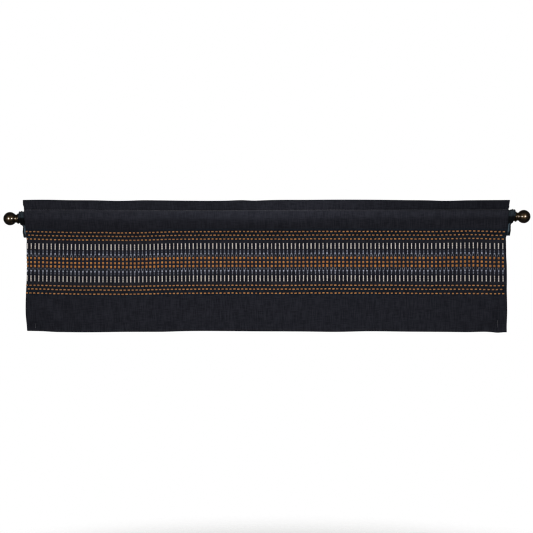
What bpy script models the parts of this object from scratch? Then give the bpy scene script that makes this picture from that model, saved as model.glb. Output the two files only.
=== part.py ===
"""Window valance on a curtain rod.

A flat panel of heavy woven cloth with a doubled header, sewn to a plain casing through which a round rod
with two ball finials passes. Metres. The origin is the middle of the rod's axis, +X runs along the rod,
+Z is up, and the front of the cloth faces -Y.
"""

import math

import bmesh
import bpy
import numpy as np

# Rod, a round bar
ROD_RADIUS = 0.019
ROD_HALF = 0.761
ROD_SIDES = 36

# Finial, turned about the rod's axis: distances are from the middle of the rod
BALL_CENTRE = 0.7975
BALL_RADIUS = 0.020
BALL_STEPS = 11
BEAD_CENTRE = 0.7786
BEAD_HALF = 0.0008
BEAD_RADIUS = 0.0122
BEAD_WAIST = 0.0113
COLLAR_OUT = 0.7766
COLLAR_IN = 0.7724
COLLAR_RADIUS = 0.0146
COLLAR_ROUND = 0.0008
FERRULE_RADIUS = 0.0138
FINIAL_SIDES = 28

# Cloth thicknesses, and the gap between pieces that touch
GAP = 0.0003
PANEL_CLOTH = 0.0018
CASING_CLOTH = 0.0012
HEADER_LAYERS = 2
HEM_LAYERS = 1.7

# Casing, measured from the rod's axis: where its two layers meet below the rod
CASING_SEAM_Z = -0.0595
CASING_SEAM_Y = -0.0006
CASING_ALLOWANCE = 0.0025
CASING_SLIT = 0.0004
CASING_HALF = 0.7715
CASING_FLARE = 0.0016
CASING_FLARE_START = 0.754
CASING_FRONT_SHORT = 0.0035
CASING_COLUMNS = 24
POCKET_ARC_STEPS = 8
POCKET_SLOPE_STEPS = 4

# Casing's cut ends: height, then how far the left and the right end reach
CASING_ENDS = (
    (0.0220, -0.7695, 0.7690),
    (0.0100, -0.7710, 0.7708),
    (0.0000, -0.7715, 0.7712),
    (-0.0090, -0.7690, 0.7675),
    (-0.0180, -0.7635, 0.7635),
    (-0.0240, -0.7575, 0.7570),
    (-0.0400, -0.7568, 0.7562),
    (-0.0620, -0.7560, 0.7545),
)

# Slack of the casing's back layer below the rod: place along the rod, then how far it bellies out
CASING_SLACK = (
    (-0.750, 0.0005),
    (-0.560, 0.0030),
    (-0.330, 0.0010),
    (-0.100, 0.0036),
    (0.140, 0.0012),
    (0.350, 0.0030),
    (0.560, 0.0012),
    (0.750, 0.0024),
)

# Panel's long lines, as unevenly as it hangs: place, top fold, header seam and lower edge
PANEL_LINES = (
    (-0.752, 0.0575, 0.0248, -0.3486),
    (-0.700, 0.0577, 0.0246, -0.3495),
    (-0.620, 0.0568, 0.0242, -0.3521),
    (-0.530, 0.0553, 0.0238, -0.3531),
    (-0.450, 0.0535, 0.0234, -0.3526),
    (-0.375, 0.0547, 0.0236, -0.3523),
    (-0.250, 0.0528, 0.0232, -0.3508),
    (-0.120, 0.0522, 0.0230, -0.3514),
    (0.020, 0.0532, 0.0230, -0.3526),
    (0.120, 0.0538, 0.0232, -0.3533),
    (0.215, 0.0540, 0.0232, -0.3546),
    (0.320, 0.0536, 0.0231, -0.3536),
    (0.430, 0.0520, 0.0229, -0.3550),
    (0.545, 0.0494, 0.0227, -0.3567),
    (0.620, 0.0508, 0.0228, -0.3573),
    (0.700, 0.0514, 0.0229, -0.3583),
    (0.720, 0.0514, 0.0229, -0.3601),
    (0.742, 0.0515, 0.0229, -0.3584),
)

# Panel's side edges: height, then the left and the right edge
PANEL_EDGES = (
    (0.0580, -0.7557, 0.7528),
    (0.0440, -0.7553, 0.7524),
    (0.0300, -0.7525, 0.7498),
    (0.0100, -0.7500, 0.7450),
    (-0.0300, -0.7468, 0.7438),
    (-0.0600, -0.7438, 0.7406),
    (-0.1400, -0.7442, 0.7421),
    (-0.1850, -0.7440, 0.7426),
    (-0.2400, -0.7482, 0.7425),
    (-0.2900, -0.7480, 0.7433),
    (-0.3600, -0.7440, 0.7405),
)

# Header's lean: place along the rod, then how far its top fold is behind its seam
HEADER_LEAN = (
    (-0.755, 0.0010),
    (-0.560, 0.0015),
    (-0.370, 0.0040),
    (-0.200, 0.0010),
    (0.030, 0.0045),
    (0.250, 0.0030),
    (0.420, -0.0010),
    (0.620, -0.0030),
    (0.755, -0.0005),
)

# Soft folds of the hanging panel: middle, half width, and push at the lower edge, back where positive
PANEL_FOLDS = (
    (-0.7500, 0.042, 0.0065),
    (-0.6300, 0.048, 0.0042),
    (-0.5500, 0.050, -0.0034),
    (-0.3500, 0.110, -0.0026),
    (-0.1500, 0.090, 0.0024),
    (0.0600, 0.100, -0.0026),
    (0.2800, 0.110, 0.0024),
    (0.4900, 0.070, -0.0030),
    (0.6100, 0.050, 0.0038),
    (0.6900, 0.034, -0.0030),
    (0.7480, 0.034, 0.0060),
)

PANEL_HALF = 0.75
PANEL_COLUMNS = 50
HEADER_ROWS = (0.06, 0.35, 0.68, 0.94)
HEADER_PINCH = 0.75
FOLD_ROUND = 0.55
SEAM_ROW_DROP = 0.0028
HANG_ROWS = (0.026, 0.14, 0.27, 0.40, 0.53, 0.66, 0.77)
SIDE_HEM_LEFT = 0.014
SIDE_HEM_RIGHT = 0.028
SIDE_HEM_STEP = 0.003
LOWER_HEM = 0.040
LOWER_HEM_STEP = 0.003
LOWER_FOLD = 0.001

# Materials: base colour, roughness and metallic
CLOTH_COLOUR = (0.0145, 0.0152, 0.0190)
CASING_COLOUR = (0.0160, 0.0260, 0.0360)
BRONZE_COLOUR = (0.0900, 0.0620, 0.0360)


def clear_scene():
    """Removes whatever the scene holds."""
    for thing in list(bpy.data.objects):
        bpy.data.objects.remove(thing)


def make_material(name, colour, roughness, metallic=0.0):
    """A Principled BSDF with one colour."""
    material = bpy.data.materials.new(name)
    material.use_nodes = True
    shader = material.node_tree.nodes["Principled BSDF"]
    shader.inputs["Base Color"].default_value = (*colour, 1.0)
    shader.inputs["Roughness"].default_value = roughness
    shader.inputs["Metallic"].default_value = metallic
    return material


def add_object(name, bm, material, sharp_deg):
    """Makes an object of a bmesh, shaded smooth but for edges sharper than sharp_deg."""
    bmesh.ops.recalc_face_normals(bm, faces=bm.faces)
    mesh = bpy.data.meshes.new(name)
    bm.to_mesh(mesh)
    bm.free()
    mesh.shade_smooth()
    mesh.set_sharp_from_angle(angle=math.radians(sharp_deg))
    mesh.materials.append(material)
    thing = bpy.data.objects.new(name, mesh)
    bpy.context.scene.collection.objects.link(thing)
    return thing


def through(places, table, column):
    """A smooth cubic through one column of a table, whose first column is the place.

    Its slope at each row is the mean slope of the rows on both sides.
    """
    knots = np.array([row[0] for row in table])
    values = np.array([row[column] for row in table])
    order = np.argsort(knots)
    knots = knots[order]
    values = values[order]
    slopes = np.gradient(values, knots)
    places = np.clip(places, knots[0], knots[-1])
    i = np.clip(np.searchsorted(knots, places) - 1, 0, len(knots) - 2)
    step = knots[i + 1] - knots[i]
    t = (places - knots[i]) / step
    start = values[i] * (1 + 2 * t) * (1 - t) ** 2 + slopes[i] * step * t * (1 - t) ** 2
    end = values[i + 1] * t**2 * (3 - 2 * t) + slopes[i + 1] * step * t**2 * (t - 1)
    return start + end


def ease(t):
    """Rises from 0 to 1 with level ends."""
    t = np.clip(t, 0.0, 1.0)
    return t * t * (3 - 2 * t)


def closed_strip(loops, outer_rows):
    """A bmesh of a grid of points, rows by columns.

    Each column is the closed loop of a cross-section, and neighbouring columns are joined along the rod. A
    flat section, with outer_rows 0, is closed at both ends by quads across its two layers. A section with a
    hollow has outer_rows points round its outside and then as many round the hollow, and is closed by quads
    between the two.
    """
    bm = bmesh.new()
    rows, columns, _ = loops.shape
    grid = [[bm.verts.new(loops[r, c]) for c in range(columns)] for r in range(rows)]
    rings = ((0, outer_rows), (outer_rows, rows)) if outer_rows else ((0, rows),)
    for first, last in rings:
        count = last - first
        for r in range(count):
            lower = grid[first + r]
            upper = grid[first + (r + 1) % count]
            for c in range(columns - 1):
                bm.faces.new((lower[c], lower[c + 1], upper[c + 1], upper[c]))
    for c in (0, columns - 1):
        if outer_rows:
            for r in range(outer_rows):
                step = (r + 1) % outer_rows
                outer = (grid[r][c], grid[step][c])
                inner = (grid[outer_rows + step][c], grid[outer_rows + r][c])
                bm.faces.new(outer + inner)
        else:
            half = rows // 2
            for r in range(half - 1):
                bm.faces.new((grid[r][c], grid[r + 1][c], grid[rows - 2 - r][c], grid[rows - 1 - r][c]))
    return bm


def pocket_half(offset):
    """Half of one layer of the pocket, from the top of the rod to the seam, as (sideways, up) points.

    The layer lies this far outside the casing's inner face. It is an arc round the rod, whose flats keep
    that distance, then a straight line that leaves the rod where the line to the seam touches it. All
    layers turn at the same angles, so they stay the same distance apart.
    """
    inner = ROD_RADIUS + GAP
    last = math.pi - math.acos((inner - CASING_SLIT / 2) / -CASING_SEAM_Z)
    angles = np.linspace(0.0, last, POCKET_ARC_STEPS + 1)
    radius = (inner + offset) / math.cos(last / POCKET_ARC_STEPS / 2)
    arc = radius * np.stack((np.sin(angles), np.cos(angles)), axis=1)
    seam = np.array((CASING_SLIT / 2 + offset, CASING_SEAM_Z))
    share = np.linspace(0.0, 1.0, POCKET_SLOPE_STEPS + 1)[1:, None]
    return np.concatenate((arc, arc[-1] + share * (seam - arc[-1])))


def pocket_shift():
    """How far each point of pocket_half moves towards the front, because the seam isn't right below the rod."""
    slope = np.linspace(0.0, 1.0, POCKET_SLOPE_STEPS + 1)[1:]
    return CASING_SEAM_Y * np.concatenate((np.zeros(POCKET_ARC_STEPS + 1), slope))


def build_rod(material):
    """A plain round bar along X."""
    bm = bmesh.new()
    bmesh.ops.create_cone(
        bm, cap_ends=True, segments=ROD_SIDES, radius1=ROD_RADIUS, radius2=ROD_RADIUS, depth=2 * ROD_HALF
    )
    rod = add_object("rod", bm, material, 40)
    rod.rotation_euler = (0.0, math.pi / 2, 0.0)
    return rod


def finial_profile():
    """Half outline of a finial as (distance from the rod's middle, radius).

    It runs from the ball's tip over the bead and the collar to the ferrule, which meets the rod's end
    inside the casing.
    """
    points = [(BALL_CENTRE + BALL_RADIUS, 0.0)]
    meet = math.pi - math.asin(BEAD_WAIST / BALL_RADIUS)
    for k in range(1, BALL_STEPS + 1):
        angle = meet * k / BALL_STEPS
        points.append((BALL_CENTRE + BALL_RADIUS * math.cos(angle), BALL_RADIUS * math.sin(angle)))
    base = ROD_HALF + GAP
    points.append((BEAD_CENTRE + BEAD_HALF, BEAD_RADIUS))
    points.append((BEAD_CENTRE - BEAD_HALF, BEAD_RADIUS))
    points.append((COLLAR_OUT, BEAD_WAIST))
    points.append((COLLAR_OUT, COLLAR_RADIUS - COLLAR_ROUND))
    points.append((COLLAR_OUT - COLLAR_ROUND, COLLAR_RADIUS))
    points.append((COLLAR_IN, COLLAR_RADIUS))
    points.append((COLLAR_IN, FERRULE_RADIUS))
    points.append((base, FERRULE_RADIUS))
    points.append((base, 0.0))
    return points


def build_finial(name, side, material):
    """A turned finial on the rod's end at this side, -1 or 1."""
    bm = bmesh.new()
    verts = [bm.verts.new((side * x, 0.0, r)) for x, r in finial_profile()]
    edges = [bm.edges.new(pair) for pair in zip(verts, verts[1:])]
    bmesh.ops.spin(
        bm,
        geom=verts + edges,
        cent=(0, 0, 0),
        axis=(1, 0, 0),
        angle=2 * math.pi,
        steps=FINIAL_SIDES,
        use_duplicate=False,
    )
    bmesh.ops.remove_doubles(bm, verts=bm.verts, dist=1e-6)
    return add_object(name, bm, material, 50)


def build_casing(material):
    """The tube of plain cloth round the rod, flat below it down to the pocket's seam."""
    middle = CASING_FLARE_START / CASING_HALF
    inside = (1 + np.linspace(-middle, middle, CASING_COLUMNS - 1)) / 2
    columns = np.concatenate(((0.0,), inside, (1.0,)))
    flare = CASING_FLARE * ((columns == 0.0) | (columns == 1.0))
    slack = through(CASING_HALF * (2 * columns - 1), CASING_SLACK, 1)
    shift = np.append(pocket_shift(), CASING_SEAM_Y)
    loops = []
    for offset, below in ((CASING_CLOTH, CASING_ALLOWANCE), (0.0, CASING_ALLOWANCE / 2)):
        half = pocket_half(offset)
        half = np.concatenate((half, [(half[-1, 0], CASING_SEAM_Z - below)]))
        height = np.concatenate((half[:, 1], half[:0:-1, 1]))
        depth = np.concatenate((shift - half[:, 0], (shift + half[:, 0])[:0:-1]))
        belly = np.sin(np.pi * np.clip(height / CASING_SEAM_Z, 0.0, 1.0)) ** 2
        belly[: len(half)] = 0.0
        up = np.repeat(height[:, None], len(columns), axis=1)
        short = np.zeros((len(height), 1))
        short[: len(half), 0] = CASING_FRONT_SHORT * ease(half[:, 1] / CASING_SEAM_Z * 2)
        left = through(up, CASING_ENDS, 1) + short
        right = through(up, CASING_ENDS, 2) - short
        along = left + (right - left) * columns
        up = up + ease(1 + height[:, None] / ROD_RADIUS) * flare
        loops.append(np.stack((along, depth[:, None] + belly[:, None] * slack, up), axis=2))
    bm = closed_strip(np.concatenate(loops), len(loops[0]))
    return add_object("casing", bm, material, 60)


def panel_columns():
    """Shares of the panel's width from left to right, with a step at each side hem."""
    width = 2 * PANEL_HALF
    left = (0.0, SIDE_HEM_LEFT / width, (SIDE_HEM_LEFT + SIDE_HEM_STEP) / width)
    right = (1 - (SIDE_HEM_RIGHT + SIDE_HEM_STEP) / width, 1 - SIDE_HEM_RIGHT / width, 1.0)
    middle = np.linspace(left[-1], right[0], PANEL_COLUMNS + 1)[1:-1]
    return np.concatenate((left, middle, right))


def hang_depth(x, share):
    """How far the hanging panel's folds push it back, from none at the pocket's seam to all at the hem."""
    push = np.zeros_like(x)
    for middle, half_width, depth in PANEL_FOLDS:
        push = push + depth * np.exp(-(((x - middle) / half_width) ** 2))
    return push * ease(share)


def build_panel(material):
    """The front cloth: doubled header, the bulge over the rod, and the hanging part with its hems."""
    columns = panel_columns()
    x_mean = PANEL_HALF * (2 * columns - 1)
    top = through(x_mean, PANEL_LINES, 1)
    seam = through(x_mean, PANEL_LINES, 2)
    hem = through(x_mean, PANEL_LINES, 3)
    lean = through(x_mean, HEADER_LEAN, 1)
    side_hem = (columns <= columns[1]) | (columns >= columns[-2])
    cloth = np.where(side_hem, PANEL_CLOTH * HEM_LAYERS, PANEL_CLOTH)
    header_cloth = PANEL_CLOTH * HEADER_LAYERS
    header_front = -PANEL_CLOTH - GAP
    pocket_back = pocket_half(CASING_CLOTH + GAP)
    pocket_front = pocket_half(CASING_CLOTH + GAP + PANEL_CLOTH)
    shift = pocket_shift()
    hang_back = shift[-1] - pocket_back[-1, 0]

    front, back = [], []

    def row(front_y, front_z, back_y, back_z):
        level = np.ones_like(columns)
        front.append((front_y * level, front_z * level))
        back.append((back_y * level, back_z * level))

    round_in = header_cloth * (1 - FOLD_ROUND) / 2
    row(header_front + lean + round_in, top, header_front + lean + header_cloth - round_in, top)
    for share in HEADER_ROWS:
        depth = header_front + lean * (1 - share)
        height = top + (seam - top) * share
        row(depth, height, depth + header_cloth, height)
    pinch = header_cloth * (1 - HEADER_PINCH)
    row(header_front + pinch, seam - GAP, header_front + header_cloth, pocket_back[0, 1] + GAP)
    for on_front, on_back, forward in zip(pocket_front[1:], pocket_back[1:], shift[1:]):
        row(forward - on_front[0], on_front[1], forward - on_back[0], on_back[1])
    drop = hem - CASING_SEAM_Z
    flat = np.ones_like(columns)
    rows = [(-SEAM_ROW_DROP / drop, PANEL_CLOTH * flat)]
    rows += [(share * flat, cloth) for share in HANG_ROWS]
    rows += [((drop + LOWER_HEM + LOWER_HEM_STEP) / drop, cloth)]
    hem_cloth = PANEL_CLOTH * HEM_LAYERS
    for below in (0.0, LOWER_HEM / 2, LOWER_HEM - LOWER_FOLD, LOWER_HEM):
        rows += [((drop + LOWER_HEM - below) / drop, hem_cloth * flat)]
    for share, thick in rows:
        height = CASING_SEAM_Z + drop * share
        depth = hang_back - PANEL_CLOTH + hang_depth(x_mean, share)
        row(depth, height, depth + thick, height)
    inset = hem_cloth * (1 - FOLD_ROUND) / 2
    front[-1] = (front[-1][0] + inset, front[-1][1])
    back[-1] = (back[-1][0] - inset, back[-1][1])

    def placed(layer):
        depth = np.array([pair[0] for pair in layer])
        height = np.array([pair[1] for pair in layer])
        left = through(height, PANEL_EDGES, 1)
        right = through(height, PANEL_EDGES, 2)
        return np.stack((left + (right - left) * columns[None, :], depth, height), axis=2)

    grid = np.concatenate((placed(front), placed(back)[::-1]))
    bm = closed_strip(grid, 0)
    return add_object("panel", bm, material, 60)


def main():
    clear_scene()
    cloth = make_material("charcoal_cloth", CLOTH_COLOUR, 0.9)
    lining = make_material("casing_cloth", CASING_COLOUR, 0.85)
    bronze = make_material("dark_bronze", BRONZE_COLOUR, 0.3, 1.0)
    rod_finish = make_material("rod_bronze", BRONZE_COLOUR, 0.38, 1.0)
    build_rod(rod_finish)
    build_finial("finial_left", -1, bronze)
    build_finial("finial_right", 1, bronze)
    build_casing(lining)
    build_panel(cloth)


main()
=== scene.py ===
"""The window valance as it looks: woven cloth, casing, sewing, bronze rod and finials, in a plain studio.

Metres. The origin is the middle of the rod's axis, +X runs along the rod, +Z is up, and the front faces -Y.
"""

import math

import bpy
import numpy as np
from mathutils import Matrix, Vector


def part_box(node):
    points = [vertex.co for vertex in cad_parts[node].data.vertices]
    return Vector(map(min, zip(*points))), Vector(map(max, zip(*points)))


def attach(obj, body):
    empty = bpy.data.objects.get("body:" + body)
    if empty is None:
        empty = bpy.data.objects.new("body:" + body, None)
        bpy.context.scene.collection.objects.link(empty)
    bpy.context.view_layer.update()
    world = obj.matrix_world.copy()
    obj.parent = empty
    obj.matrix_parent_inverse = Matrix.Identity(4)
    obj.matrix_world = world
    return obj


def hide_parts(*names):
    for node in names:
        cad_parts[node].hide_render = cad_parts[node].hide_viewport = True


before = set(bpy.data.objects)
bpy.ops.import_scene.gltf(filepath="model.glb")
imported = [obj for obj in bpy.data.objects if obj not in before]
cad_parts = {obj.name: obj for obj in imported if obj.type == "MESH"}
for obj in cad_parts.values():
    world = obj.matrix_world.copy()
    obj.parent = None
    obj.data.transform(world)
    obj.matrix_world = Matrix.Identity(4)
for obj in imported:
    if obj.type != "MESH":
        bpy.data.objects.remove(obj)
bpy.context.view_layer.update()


# Rod
# A round steel pole of 38 mm in satin bronze lacquer, bought by the length. It runs through the casing and
# carries the cloth. Its own solid is shown, because the casing covers all of it.

ROD_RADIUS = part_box("rod")[1].z
BRONZE_DARK = (0.034, 0.023, 0.013)
BRONZE_WORN = (0.250, 0.167, 0.088)


def wire(tree, kind, sockets=None, **options):
    """Adds a node with these options. Each socket gets a value or another node's output."""
    made = tree.nodes.new("ShaderNode" + kind)
    for key, value in options.items():
        setattr(made, key, value)
    for key, value in (sockets or {}).items():
        if isinstance(value, bpy.types.NodeSocket):
            tree.links.new(value, made.inputs[key])
        else:
            made.inputs[key].default_value = value
    return made


def noise(tree, place, scale, detail, roughness=0.5, **options):
    """Noise over place, with scale waves a metre. Each step of detail adds waves half as long."""
    sockets = {"Vector": place, "Scale": scale, "Detail": detail, "Roughness": roughness}
    return wire(tree, "TexNoise", sockets, **options).outputs["Fac"]


def finish_of(name, **even):
    """A Principled material and its tree. even holds its even sockets, with _ for each space in a name."""
    material = bpy.data.materials.new(name)
    material.use_nodes = True
    for key, value in even.items():
        material.node_tree.nodes["Principled BSDF"].inputs[key.replace("_", " ")].default_value = value
    return material, material.node_tree


def graded(tree, fac, *stops):
    """A colour ramp over fac. Each stop is a place and a colour, as red, green and blue."""
    ramp = wire(tree, "ValToRGB", {"Fac": fac})
    elements = ramp.color_ramp.elements
    while len(elements) < len(stops):
        elements.new(0.5)
    for element, (place, colour) in zip(elements, stops):
        element.position = place
        element.color = (*colour, 1.0)
    return ramp.outputs["Color"]


def dress(tree, colour, height, strength, distance, **others):
    """Links a tree's base colour, its bump from a height, and others of its shader's sockets."""
    bump = wire(tree, "Bump", {"Height": height, "Strength": strength, "Distance": distance})
    linked = {"Base Color": colour, "Normal": bump.outputs["Normal"], **others}
    for key, value in linked.items():
        tree.links.new(value, tree.nodes["Principled BSDF"].inputs[key])


def bronze(name, gloss, mottle_size):
    """Patinated bronze: dark brown with worn lighter clouds, a gloss that varies a little, and fine dents.

    gloss is its mean roughness, and mottle_size the size of the clouds, in metres.
    """
    material, tree = finish_of(name, Metallic=1.0, Coat_Weight=1.0, Coat_Roughness=0.05, Coat_IOR=2.0)
    place = wire(tree, "TexCoord").outputs["Object"]
    clouds = noise(tree, place, 1 / mottle_size, 5.0, 0.6)
    fine = noise(tree, place, 9 / mottle_size, 3.0)
    colour = graded(tree, clouds, (0.36, BRONZE_DARK), (0.72, BRONZE_WORN))
    ends = {"From Min": 0.3, "From Max": 0.7, "To Min": gloss - 0.06, "To Max": gloss + 0.08}
    rough = wire(tree, "MapRange", {"Value": fine, **ends}).outputs["Result"]
    dress(tree, colour, fine, 0.12, 0.0004, Roughness=rough)
    return material


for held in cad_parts["rod"].material_slots:
    held.material = bronze("rod_lacquer", 0.36, 0.030)


# Finials
# A ball, a waisted neck and a round collar on each end, turned from one piece of brass and patinated dark.
# A dull ferrule behind the collar screws into the rod's end inside the casing.

BALL_CENTRE = 0.7970
BALL_RADIUS = 0.0206
NECK_CENTRE = 0.7785
NECK_RADIUS = 0.0125
NECK_FLARE = 0.0014
NECK_END = 0.7802
NECK_STEP = 0.0003
COLLAR_OUT = 0.7746
COLLAR_IN = 0.7684
COLLAR_RADIUS = 0.0161
COLLAR_ROUND = 0.0029
FERRULE_RADIUS = 0.0138
FERRULE_END = 0.7613
TURNED_SIDES = 72
TIP_ANGLE = 0.6
BALL_STEPS = 36
NECK_STEPS = 12
COLLAR_STEPS = 6
SHARP_ANGLE = 50
POLISH_STEP = 0.0020


def arc(centre, radius, start, end, steps):
    """Points (along, out) on a part circle round centre, from the angle start to end in degrees."""
    angle = np.radians(np.linspace(start, end, steps))
    return np.stack((centre[0] + radius * np.cos(angle), centre[1] + radius * np.sin(angle)), axis=1)


def finial_outline():
    """Half outline from the ball's tip to the ferrule's end, as (place along the rod, radius).

    The ball is an arc that ends a little wider than the neck. The neck is a quarter ellipse that widens to
    the collar, a bead of two quarter circles.
    """
    meet = 180 - math.degrees(math.asin((NECK_RADIUS + NECK_STEP) / BALL_RADIUS))
    edge = COLLAR_RADIUS - COLLAR_ROUND
    neck = arc((0.0, 0.0), 1.0, 90, 180, NECK_STEPS)
    neck = neck * (NECK_CENTRE - COLLAR_OUT, -NECK_FLARE) + (NECK_CENTRE, NECK_RADIUS + NECK_FLARE)
    return np.concatenate(
        (
            arc((BALL_CENTRE, 0.0), BALL_RADIUS, TIP_ANGLE, meet, BALL_STEPS),
            neck,
            arc((COLLAR_OUT - COLLAR_ROUND, edge), COLLAR_ROUND, 0, 90, COLLAR_STEPS),
            arc((COLLAR_IN + COLLAR_ROUND, edge), COLLAR_ROUND, 90, 180, COLLAR_STEPS),
            [(COLLAR_IN, FERRULE_RADIUS), (FERRULE_END, FERRULE_RADIUS)],
        )
    )


def ease(t):
    """Rises from 0 to 1 with level ends."""
    t = np.clip(t, 0.0, 1.0)
    return t * t * (3 - 2 * t)


def polish(along):
    """How polished the bronze is: 0.08 on the ferrule, 0.42 on collar and neck, 1 on the ball.

    It goes from one to the next by a soft step.
    """
    past_collar = ease((along - COLLAR_IN) / POLISH_STEP)
    past_neck = ease((along - NECK_END) / POLISH_STEP)
    return 0.08 + 0.34 * past_collar + 0.58 * past_neck


def turned(outline, sides, side):
    """An outline swept round the rod's axis: x is the place, and y and z the radius times sine and cosine.

    On side -1 it is mirrored, and its rings run the other way round, so that its faces still point outwards.
    """
    angle = np.linspace(0.0, 2 * np.pi, sides, endpoint=False)
    along = np.repeat(side * outline[:, :1], sides, axis=1)
    out = outline[:, 1:]
    return np.stack((along, out * np.sin(angle), out * np.cos(angle)), axis=2)[:, ::side]


def quads(a, b, c, d):
    """Faces from four arrays of point numbers, one array for each corner."""
    return np.stack((a, b, c, d), axis=-1).reshape(-1, 4)


def tube_faces(rings, sides):
    """Faces of a closed tube of rings, and one many-sided face on each end."""
    index = np.arange(rings * sides).reshape(rings, sides)
    index = np.concatenate((index, index[:, :1]), axis=1)
    walls = quads(index[:-1, :-1], index[:-1, 1:], index[1:, 1:], index[1:, :-1]).tolist()
    return walls + [index[0, -2::-1].tolist(), index[-1, :-1].tolist()]


def add_piece(name, points, faces, material, cloth_place=None, **numbers):
    """A piece of the object in its place, smooth, from points and faces.

    cloth_place holds each point's place on the cloth, in metres, as the UV map. numbers are the piece's
    other attributes, one number for each point, which its material reads.
    """
    mesh = bpy.data.meshes.new(name)
    mesh.from_pydata(points.reshape(-1, 3).tolist(), [], faces)
    mesh.shade_smooth()
    mesh.materials.append(material)
    corners = np.empty(len(mesh.loops), dtype=np.int32)
    mesh.loops.foreach_get("vertex_index", corners)
    if cloth_place is not None:
        layer = mesh.uv_layers.new(name="cloth")
        layer.data.foreach_set("uv", cloth_place.reshape(-1, 2)[corners].astype(np.float32).ravel())
    for key, values in numbers.items():
        layer = mesh.attributes.new(key, "FLOAT", "POINT")
        layer.data.foreach_set("value", values.astype(np.float32).ravel())
    piece = bpy.data.objects.new(name, mesh)
    bpy.context.scene.collection.objects.link(piece)
    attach(piece, "root")
    return piece


finial_bronze = bronze("finial_patina", 0.38, 0.016)
finial_tree = finial_bronze.node_tree
coat = wire(finial_tree, "Attribute", attribute_name="polish").outputs["Fac"]
finial_tree.links.new(coat, finial_tree.nodes["Principled BSDF"].inputs["Coat Weight"])
for finial_name, finial_side in (("left", -1), ("right", 1)):
    rings = turned(finial_outline(), TURNED_SIDES, finial_side)
    finial = add_piece(
        "turned_finial_" + finial_name,
        rings,
        tube_faces(rings.shape[0], TURNED_SIDES),
        finial_bronze,
        polish=polish(np.abs(rings[..., 0])),
    )
    finial.data.set_sharp_from_angle(angle=math.radians(SHARP_ANGLE))
    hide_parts("finial_" + finial_name)


# Casing
# A strip of plain blue-black lining cotton, folded over the rod and sewn to the panel below it, so that it
# makes a tube for the rod. Its ends are turned in, gathered a little, and stand out past the panel on both
# sides, where painted shade darkens them under the rod and painted light lightens the strips below it.

SEWN_GAP = 0.0003
CASING_CLOTH = 0.0012
CASING_INNER = ROD_RADIUS + SEWN_GAP
POCKET_SEAM_Z = -0.0582
CASING_SEAM_Y = -0.0006
CASING_SLIT = 0.0004
CASING_ALLOWANCE = 0.0010
CASING_CROWN = 0.0024
CASING_CROWN_IN = 0.007
GATHER = 0.0008
GATHER_PITCH = 0.0062
GATHER_REACH = 0.018
CASING_FRONT_SHORT = 0.0035
CASING_MIDDLE_COLUMNS = 190
CASING_END_COLUMNS = 32
CASING_END_SHARE = 0.0175
CASING_ARC_ROWS = 26
CASING_SLOPE_ROWS = 14

# Cut ends: height, then how far the left and the right end reach
CASING_ENDS = (
    (0.0225, -0.7678, 0.7696), (0.015, -0.7679, 0.769), (0.006, -0.7682, 0.7678),
    (0.0, -0.7681, 0.7668), (-0.009, -0.767, 0.7652), (-0.0145, -0.7656, 0.764),
    (-0.0185, -0.765, 0.7634), (-0.0208, -0.7632, 0.7618), (-0.0228, -0.7592, 0.7588),
    (-0.03, -0.759, 0.7583), (-0.045, -0.7588, 0.7576), (-0.05, -0.757, 0.756),
    (-0.055, -0.7562, 0.7548), (-0.0592, -0.7545, 0.7535),
)

# Slack of the back layer below the rod: place along the rod, then how far it bellies out
CASING_SLACK = (
    (-0.75, 0.0005), (-0.56, 0.003), (-0.33, 0.001), (-0.1, 0.0036),
    (0.14, 0.0012), (0.35, 0.003), (0.56, 0.0012), (0.75, 0.0024),
)


def through(places, table, column):
    """A smooth cubic through one column of a table, whose first column is the place.

    Its slope at each row is the mean slope of the rows on both sides.
    """
    knots = np.array([row[0] for row in table])
    values = np.array([row[column] for row in table])
    order = np.argsort(knots)
    knots = knots[order]
    values = values[order]
    slopes = np.gradient(values, knots)
    places = np.clip(places, knots[0], knots[-1])
    i = np.clip(np.searchsorted(knots, places) - 1, 0, len(knots) - 2)
    step = knots[i + 1] - knots[i]
    t = (places - knots[i]) / step
    start = values[i] * (1 + 2 * t) * (1 - t) ** 2 + slopes[i] * step * t * (1 - t) ** 2
    end = values[i + 1] * t**2 * (3 - 2 * t) + slopes[i + 1] * step * t**2 * (t - 1)
    return start + end


def bell(distance, half_width):
    """Falls from 1 to nearly 0 as the distance passes half_width: e to the minus its square."""
    return np.exp(-((distance / half_width) ** 2))


def leave_angle():
    """The angle from the rod's top where the casing leaves the rod for the seam, as a tangent does."""
    return math.pi - math.acos((CASING_INNER - CASING_SLIT / 2) / -POCKET_SEAM_Z)


def shell(outer, inner):
    """Faces of a cloth's two sides, each a grid of rows by columns, and of the rim that joins them."""
    rows, columns, _ = outer.shape
    out, inn = np.arange(2 * rows * columns).reshape(2, rows, columns)
    faces = (
        quads(out[:-1, :-1], out[1:, :-1], out[1:, 1:], out[:-1, 1:]),
        quads(inn[:-1, :-1], inn[:-1, 1:], inn[1:, 1:], inn[1:, :-1]),
        quads(out[:-1, 0], inn[:-1, 0], inn[1:, 0], out[1:, 0]),
        quads(out[:-1, -1], out[1:, -1], inn[1:, -1], inn[:-1, -1]),
        quads(out[0, :-1], out[0, 1:], inn[0, 1:], inn[0, :-1]),
        quads(out[-1, :-1], inn[-1, :-1], inn[-1, 1:], out[-1, 1:]),
    )
    return np.concatenate(faces).tolist()


def lengths(path):
    """How far each point of a path is from its start: the sum of the steps up to it."""
    return np.concatenate(((0.0,), np.cumsum(np.linalg.norm(np.diff(path, axis=0), axis=1))))


def cloth_places(points):
    """Where each point of a cloth's two faces lies on the flat cloth, measured along its grid's middles."""
    across = lengths(points[len(points) // 2])
    down = lengths(points[:, points.shape[1] // 2])
    place = np.stack(np.meshgrid(across, down), axis=-1)
    return np.stack((place, place))


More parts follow.
